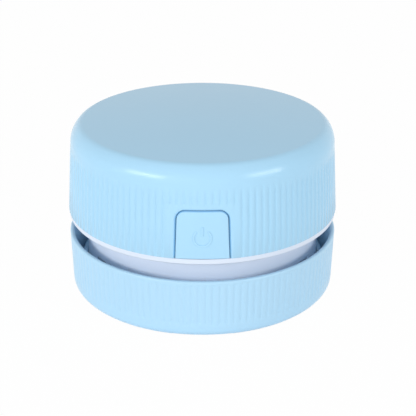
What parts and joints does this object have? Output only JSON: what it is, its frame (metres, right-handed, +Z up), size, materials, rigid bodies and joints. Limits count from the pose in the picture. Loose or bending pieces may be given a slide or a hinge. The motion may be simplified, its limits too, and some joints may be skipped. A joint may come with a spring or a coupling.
{
  "type": "desktop mini vacuum cleaner",
  "caption": "Round rechargeable desk vacuum: domed fluted shell with front push button over a white frame, exhaust gap and pull-off fluted dust cup with suction slot and brushes.",
  "frame": {"origin": "on the table, under the middle of the dust cup", "axes": "+Z up through the lid, the button on the -Y side, the charging socket on the +Y side"},
  "size_m": [0.085, 0.085, 0.0552],
  "materials": {
    "shell_blue": "pale blue ABS, satin gloss",
    "button_blue": "pale blue ABS, fine satin",
    "frame_white": "cool white ABS, satin",
    "screw_steel": "zinc-plated steel",
    "motor_steel": "drawn and nickel-plated steel",
    "endcap_black": "moulded black nylon",
    "contact_brass": "tinned brass",
    "shaft_steel": "ground steel",
    "fan_white": "natural white nylon",
    "cell_wrap": "shrink-wrapped green film",
    "nickel_strip": "nickel strip",
    "board_green": "solder-masked glass epoxy",
    "switch_black": "moulded black nylon",
    "socket_steel": "pressed stainless steel",
    "seal_rubber": "pale silicone rubber",
    "filter_white": "white polypropylene",
    "filter_foam": "charcoal filter foam",
    "cup_blue": "pale blue ABS, satin gloss",
    "lead_red": "soft red PVC sleeve",
    "lead_black": "soft black PVC sleeve",
    "strip_grey": "grey polypropylene",
    "bristle_nylon": "dark nylon bristle"
  },
  "bodies": {
    "head": {"top_shell": "shell_blue", "mid_frame": "frame_white", "case_screws": "screw_steel", "motor_can": "motor_steel", "motor_endcap": "endcap_black", "motor_terminals": "contact_brass", "motor_screws": "screw_steel", "fan_cover": "frame_white", "cover_screws": "screw_steel", "battery_cell": "cell_wrap", "cell_tabs": "nickel_strip", "control_board": "board_green", "tact_switch": "switch_black", "charge_board": "board_green", "charge_socket": "socket_steel", "socket_tongue": "switch_black", "seal_ring": "seal_rubber", "board_parts": "switch_black", "battery_leads": "lead_red", "motor_leads": "lead_black", "charge_leads": "lead_black"},
    "button": {"button_cap": "button_blue", "switch_plunger": "switch_black"},
    "fan": {"motor_shaft": "shaft_steel", "impeller": "fan_white"},
    "filter": {"filter_frame": "filter_white", "filter_pad": "filter_foam"},
    "cup": {"dust_cup": "cup_blue", "brush_strips": "strip_grey", "brush_tufts": "bristle_nylon"}
  },
  "joints": [
    {"name": "button_press", "type": "slide", "parent": "head", "child": "button", "axis": [0, 1, 0], "range_m": [0, 0.0006], "stiffness_N_per_m": 2500, "springref_m": -0.0002},
    {"name": "fan_spin", "type": "hinge", "parent": "head", "child": "fan", "pos_m": [0, 0, 0.02], "axis": [0, 0, 1], "continuous": true},
    {"name": "filter_pull", "type": "slide", "parent": "filter", "child": "head", "axis": [0, 0, 1], "range_m": [0, 0.02]},
    {"name": "cup_pull", "type": "slide", "parent": "cup", "child": "filter", "axis": [0, 0, 1], "range_m": [0, 0.025]}
  ]
}
